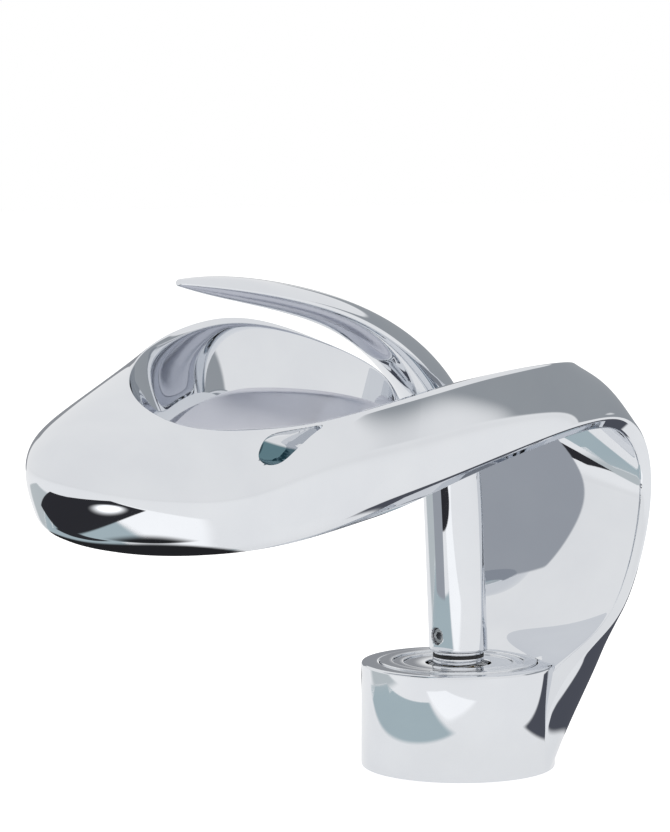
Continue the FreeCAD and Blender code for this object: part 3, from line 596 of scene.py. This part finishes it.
# The lever: rows of y in reaches, rise in stem heights, lean, half width, then depth and fullness of the
# front and back halves in stem radii.
lever = {
    "stemRadius": 7.7, "footHeight": 31.0, "stemHeight": 100.8, "reach": 93.0,
    "rows": [
        (0.0, 0.0, 0.0, 1.0, 1.0, 1.0, 1.0, 1.0), (-0.008, 0.14, 0.0, 1.0, 1.0, 1.0, 1.0, 1.0),
        (-0.017, 0.31, 0.0, 1.0, 1.0, 1.0, 1.0, 1.0), (-0.028, 0.47, 3.0, 1.0, 1.0, 1.0, 1.0, 1.0),
        (-0.052, 0.597, 18.0, 1.0, 0.98, 1.0, 1.01, 0.95), (-0.130, 0.711, 40.0, 1.0, 0.90, 1.0, 0.95, 0.8),
        (-0.258, 0.819, 58.0, 1.0, 0.68, 1.0, 0.74, 0.66), (-0.430, 0.903, 72.0, 1.03, 0.50, 0.95, 0.55, 0.6),
        (-0.625, 0.950, 77.0, 0.98, 0.45, 0.8, 0.50, 0.6), (-0.800, 0.979, 80.0, 0.78, 0.40, 0.7, 0.44, 0.6),
        (-0.925, 0.993, 82.0, 0.5, 0.28, 0.6, 0.30, 0.6), (-1.0, 1.0, 83.0, 0.19, 0.12, 0.7, 0.12, 0.7),
    ],
    "creaseRounding": 0.5, "stemRounding": 0.02, "creaseSpan": (2.6, 4.5),
    "boreRadius": 5.3, "boreTop": 46.0, "boreEdge": 0.4, "footRounding": 0.6, "tipLength": 0.5,
    "screwHole": (35.5, 2.0, -4.6), "screwEdge": (0.2, -0.05),     # height, radius, how deep the skin goes
    "screwRows": (0.02, 0.62, 60), "otherRows": (0.65, 190),       # fine rows round the screw hole
    "counts": (110, 60), "cornerCount": 5,
}


# Two cubic halves per row, splined along the rows and rounded where they meet; the foot turns in to the
# sleeve's bore, the tip ends in a small dome, and the screw hole is skin pushed back inside a circle.
def leverRings():
    rows = np.array(lever["rows"])
    lean = np.radians(rows[:, 2])
    size, foot, zero = lever["stemRadius"], lever["footHeight"], np.zeros(len(rows))
    centre = np.stack([zero, rows[:, 0] * lever["reach"], foot + rows[:, 1] * lever["stemHeight"]], -1)
    across = np.stack([rows[:, 3] * size, zero, zero], -1)
    front = np.stack([zero, -np.cos(lean), -np.sin(lean)], -1) * size * 4 / 3    # a cubic reaches 3/4 of this
    deepFront, deepBack = front * rows[:, 4:5], -front * rows[:, 6:7]
    fullFront, fullBack = across * rows[:, 5:6], across * rows[:, 7:8]
    frontHalf = np.stack([across, deepFront + fullFront, deepFront - fullFront, -across], 1) + centre[:, None]
    backHalf = np.stack([-across, deepBack - fullBack, deepBack + fullBack, across], 1) + centre[:, None]
    start, count = lever["otherRows"]
    places = np.concatenate([np.linspace(*lever["screwRows"]), np.linspace(start, len(rows) - 3, count)])
    weights = splineWeights(len(rows), places)
    poles = [np.einsum("mr,rpc->mpc", weights, half) for half in (frontHalf, backHalf)]
    blade = softStep(*lever["creaseSpan"], places)[:, None]    # the stem is round, the blade has creases
    rounding = np.tile(blade * lever["creaseRounding"] + lever["stemRounding"], (1, 2))
    grid = roundedRings(poles, rounding, lever["counts"], lever["cornerCount"])
    z, holeSize, depth = lever["screwHole"]
    outerEdge, innerEdge = lever["screwEdge"]
    reach = np.hypot(grid[..., 0], grid[..., 2] - z)
    pushed = softStep(holeSize + outerEdge, holeSize + innerEdge, reach) * (grid[..., 1] < 0)
    grid[..., 1] += pushed * (depth - grid[..., 1])
    bore, top = lever["boreRadius"] / size, lever["boreTop"]
    curl = np.linspace(0, np.pi / 2, 6)
    shrink = 1 - lever["footRounding"] / size * (1 - np.sin(curl))
    lift = lever["footRounding"] * (1 - np.cos(curl))
    scales = np.concatenate([[0.02, bore, bore, bore], shrink])
    heights = np.concatenate([[top, top, top - lever["boreEdge"], foot], foot + lift])
    footRings = np.repeat(grid[:1], len(scales), 0)
    footRings[..., :2] *= scales[:, None, None]
    footRings[..., 2] = heights[:, None]
    last = grid[-1]
    middle = last.mean(0)
    ahead = middle - grid[-3].mean(0)
    ahead = ahead / np.linalg.norm(ahead)
    dome = np.linspace(0, np.pi / 2, 8)[1:-1, None, None]
    tip = middle + (last - middle) * np.cos(dome) + ahead * lever["tipLength"] * np.sin(dome)
    keep = grid[..., 2].min(1) > foot + lever["footRounding"]
    return np.concatenate([footRings, grid[keep], tip])


makePiece("lever_blade", [leverRings()], "lever", ("polishedChrome",), ("lever_handle",))

# Finishes of the CAD nodes that stay as they are.
slotFinish = {
    "chrome_body": "polishedChrome", "chrome_trim": "turnedChrome", "brass": "brass", "steel": "steel",
    "ceramic": "ceramic", "cartridge_plastic": "acetal", "aerator_plastic": "aeratorPlastic",
    "rubber": "rubber",
}
for subpart in frame["record"]["subparts"]:
    node = frame["nodes"][subpart["node"]]
    node.data.materials.clear()
    node.data.materials.append(finishes[slotFinish[subpart["material_slot"]]])

# Studio: pale floor, white surroundings, soft lamps, and boards, cloths and painted shade and shadow sheets
# that only the chrome sees.
studio = {
    "floorSize": 12.0, "floorDrop": 0.0002, "floorColour": 0.75,
    "floorGlow": (0.75, 0.66, 1.125),    # glow for the camera, the chrome's share of it and its strength
    "surroundGlow": 0.55, "surroundChrome": 0.90,
    "lamps": [                           # place, aim, size, watts
        ((-0.5, -0.7, 1.1), (0, -0.04, 0.08), 0.9, 5.0),
        ((1.0, 0.2, 1.0), (0, -0.04, 0.08), 0.8, 3.0),
    ],
    # name, centre, aim or None for one that lies flat, width, height, colour, softness, oval
    "boards": [
        ("grey_board_back", (0.05, 0.79, 0.35), (0.05, 0, 0.22), 1.7, 0.50, (0.34, 0.36, 0.38), 0.12, False),
        ("grey_board_left", (-0.80, 0.38, 0.16), (0, 0, 0.10), 0.55, 0.36, (0.30, 0.31, 0.33), 0.15, False),
        # Painted shade: a dark card just under the nose, seen only by the chrome, standing in for the shade
        # beneath the nose.
        ("shade_card_below", (0.0, -0.106, 0.066), None, 0.062, 0.052, (0.02, 0.02, 0.022), 0.1, True),
        # Painted shade: a grey card in the space under the spout, seen only by the chrome, standing in for
        # the shade there.
        ("shade_card_stem", (-0.0155, -0.05, 0.060), (-0.0155, 1, 0.060), 0.036, 0.05, (0.37, 0.39, 0.425),
         0.06, False),
        ("dark_card_nose", (-0.005, -0.215, 0.030), None, 0.27, 0.11, (0.03, 0.03, 0.035), 0.05, False),
        ("dark_cloth_back", (-0.0385, 0.144, 0.002), None, 0.233, 0.212, (0.085, 0.09, 0.11), 0.08, False),
        # Painted shadow: a teal-grey sheet on the floor under the nose, seen only by the chrome, standing in
        # for the nose's shadow there.
        ("shadow_sheet_front", (-0.058, -0.13, 0.002), None, 0.245, 0.15, (0.44, 0.53, 0.56), 0.12, False),
        ("grey_cloth_left", (-0.32, -0.19, 0.002), None, 0.40, 0.26, (0.56, 0.60, 0.61), 0.3, False),
        ("white_card_front", (0.13, -0.19, 0.004), None, 0.15, 0.24, (1.15, 1.15, 1.15), 0.2, False),
        ("white_card_nose", (0.062, -0.198, 0.032), None, 0.095, 0.06, (2.4, 2.4, 2.4), 0.9, True),
    ],
}


# A rectangle that faces a point, or upwards, with a map from -1 to 1 both ways for its soft edges.
def sheet(name, centre, aim, width, height):
    centre = np.array(centre, float)
    if aim is None:
        sideways, upwards = np.array([1.0, 0, 0]), np.array([0, 1.0, 0])
    else:
        facing = (np.array(aim) - centre) / np.linalg.norm(np.array(aim) - centre)
        sideways = np.cross((0, 0, 1), facing)
        sideways = sideways / np.linalg.norm(sideways)
        upwards = np.cross(facing, sideways)
    spread = np.array([(-1, -1), (1, -1), (1, 1), (-1, 1)], float)
    points = centre + spread[:, :1] * sideways * width / 2 + spread[:, 1:] * upwards * height / 2
    mesh = bpy.data.meshes.new(name)
    mesh.from_pydata(points.tolist(), [], [(0, 1, 2, 3)])
    mesh.uv_layers.new(name="spread").uv.foreach_set("vector", spread.ravel().astype(np.float32))
    obj = bpy.data.objects.new(name, mesh)
    scene.collection.objects.link(obj)
    return obj


# Floor shader: lit as a plain pale sheet, with a glow added where the camera sees it. The chrome sees a
# blend of that sheet and an even glow, so that the floor meets the white surroundings without a hard
# horizon.
def floorFinish(name, colour, cameraGlow, chromeShare, chromeGlow):
    material = bpy.data.materials.new(name)
    material.use_nodes = True
    nodes, links = material.node_tree.nodes, material.node_tree.links
    shader = nodes["Principled BSDF"]
    shader.inputs["Base Color"].default_value = (colour, colour, colour, 1)
    shader.inputs["Roughness"].default_value = 0.9
    shader.inputs["Specular IOR Level"].default_value = 0.0
    shader.inputs["Emission Color"].default_value = (1, 1, 1, 1)
    path = nodes.new("ShaderNodeLightPath")
    seen = nodes.new("ShaderNodeMath")
    seen.operation = "MULTIPLY"
    seen.inputs[1].default_value = cameraGlow
    share = nodes.new("ShaderNodeMath")
    share.operation = "MULTIPLY"
    share.inputs[1].default_value = chromeShare
    glow = nodes.new("ShaderNodeEmission")
    glow.inputs["Strength"].default_value = chromeGlow
    blend = nodes.new("ShaderNodeMixShader")
    links.new(path.outputs["Is Camera Ray"], seen.inputs[0])
    links.new(seen.outputs["Value"], shader.inputs["Emission Strength"])
    links.new(path.outputs["Is Glossy Ray"], share.inputs[0])
    links.new(share.outputs["Value"], blend.inputs["Fac"])
    links.new(shader.outputs["BSDF"], blend.inputs[1])
    links.new(glow.outputs["Emission"], blend.inputs[2])
    links.new(blend.outputs["Shader"], nodes["Material Output"].inputs["Surface"])
    return material


# A board that shines evenly and fades out towards its edges: opacity falls from 1 to 0 over the softness,
# measured by the larger of the two distances from the middle, or by the straight distance on an oval one.
def boardFinish(name, colour, softness, oval):
    material = bpy.data.materials.new(name)
    material.use_nodes = True
    nodes, links = material.node_tree.nodes, material.node_tree.links
    shader = nodes["Principled BSDF"]
    shader.inputs["Base Color"].default_value = (0, 0, 0, 1)
    shader.inputs["Specular IOR Level"].default_value = 0.0
    shader.inputs["Emission Color"].default_value = (*colour, 1)
    shader.inputs["Emission Strength"].default_value = 1.0
    spread = nodes.new("ShaderNodeUVMap")
    spread.uv_map = "spread"
    size = nodes.new("ShaderNodeVectorMath")
    size.operation = "ABSOLUTE"
    axes = nodes.new("ShaderNodeSeparateXYZ")
    larger = nodes.new("ShaderNodeMath")
    larger.operation = "SMOOTH_MAX"
    larger.inputs[2].default_value = softness
    fade = nodes.new("ShaderNodeMapRange")
    fade.interpolation_type = "SMOOTHSTEP"
    fade.inputs["From Min"].default_value, fade.inputs["From Max"].default_value = 1 - softness, 1.0
    fade.inputs["To Min"].default_value, fade.inputs["To Max"].default_value = 1.0, 0.0
    links.new(spread.outputs["UV"], size.inputs[0])
    links.new(size.outputs["Vector"], axes.inputs["Vector"])
    links.new(axes.outputs["X"], larger.inputs[0])
    links.new(axes.outputs["Y"], larger.inputs[1])
    straight = nodes.new("ShaderNodeVectorMath")
    straight.operation = "LENGTH"
    links.new(spread.outputs["UV"], straight.inputs[0])
    links.new((straight if oval else larger).outputs["Value"], fade.inputs["Value"])
    links.new(fade.outputs["Result"], shader.inputs["Alpha"])
    return material


# Matrix of something at a place that looks away from its back vector, upright.
def lookMatrix(place, back):
    right = np.cross((0, 0, 1), back)
    right = right / np.linalg.norm(right)
    columns = np.stack([right, np.cross(back, right), back, place], -1)
    return Matrix([*columns.tolist(), (0, 0, 0, 1)])


floor = sheet("floor", (0, 0, -studio["floorDrop"]), None, studio["floorSize"], studio["floorSize"])
floor.data.materials.append(floorFinish("pale_floor", studio["floorColour"], *studio["floorGlow"]))

for name, centre, aim, width, height, colour, softness, oval in studio["boards"]:
    board = sheet(name, centre, aim, width, height)
    board.data.materials.append(boardFinish(name, colour, softness, oval))
    board.visible_camera = False
    board.visible_diffuse = False
    board.visible_shadow = False

for place, aim, size, watts in studio["lamps"]:
    lamp = bpy.data.lights.new("soft_lamp", "AREA")
    lamp.shape, lamp.size, lamp.energy = "DISK", size, watts
    lampObject = bpy.data.objects.new("soft_lamp", lamp)
    scene.collection.objects.link(lampObject)
    lampObject.visible_glossy = False
    back = np.array(place) - aim
    lampObject.matrix_world = lookMatrix(place, back / np.linalg.norm(back))

world = bpy.data.worlds.new("studio_white")
scene.world = world
world.use_nodes = True
worldNodes, worldLinks = world.node_tree.nodes, world.node_tree.links
path = worldNodes.new("ShaderNodeLightPath")
mirrored = worldNodes.new("ShaderNodeMath")
mirrored.operation = "MAXIMUM"
chrome = worldNodes.new("ShaderNodeMath")
chrome.operation = "MULTIPLY_ADD"
chrome.inputs[1].default_value = studio["surroundChrome"] - studio["surroundGlow"]
chrome.inputs[2].default_value = studio["surroundGlow"]
direct = worldNodes.new("ShaderNodeMath")
direct.operation = "MULTIPLY_ADD"
direct.inputs[1].default_value = 1 - studio["surroundGlow"]
backdrop = worldNodes["Background"]
worldLinks.new(path.outputs["Is Glossy Ray"], mirrored.inputs[0])
worldLinks.new(path.outputs["Is Transmission Ray"], mirrored.inputs[1])
worldLinks.new(mirrored.outputs["Value"], chrome.inputs[0])
worldLinks.new(path.outputs["Is Camera Ray"], direct.inputs[0])
worldLinks.new(chrome.outputs["Value"], direct.inputs[2])
worldLinks.new(direct.outputs["Value"], backdrop.inputs["Strength"])
backdrop.inputs["Color"].default_value = (1, 1, 1, 1)
scene.view_settings.view_transform = "Standard"
print("studio set")

# Camera at the photograph's angle: the base's middle falls on a given pixel of the picture.
view = {
    "azimuth": 50.0, "elevation": 4.9, "distance": 0.85, "focalPixels": 3145.0, "basePixel": (458.0, 764.2),
    "picture": (670, 832), "sensor": 36.0, "clip": (0.01, 50),
}
azimuth, elevation = np.radians(view["azimuth"]), np.radians(view["elevation"])
level = np.array([np.sin(azimuth), -np.cos(azimuth), 0])
right = np.array([np.cos(azimuth), np.sin(azimuth), 0])
back = level * np.cos(elevation) + (0, 0, np.sin(elevation))
across, down = np.array(view["basePixel"]) - np.array(view["picture"]) / 2
ray = right * across - np.cross(back, right) * down - back * view["focalPixels"]
place = -ray / np.linalg.norm(ray) * view["distance"]
lens = bpy.data.cameras.new("studio_camera")
lens.sensor_width = view["sensor"]
lens.lens = view["focalPixels"] / max(view["picture"]) * lens.sensor_width
lens.clip_start, lens.clip_end = view["clip"]
camera = bpy.data.objects.new("studio_camera", lens)
scene.collection.objects.link(camera)
camera.matrix_world = lookMatrix(place, back)
scene.camera = camera
print("camera set at", place.round(4).tolist())
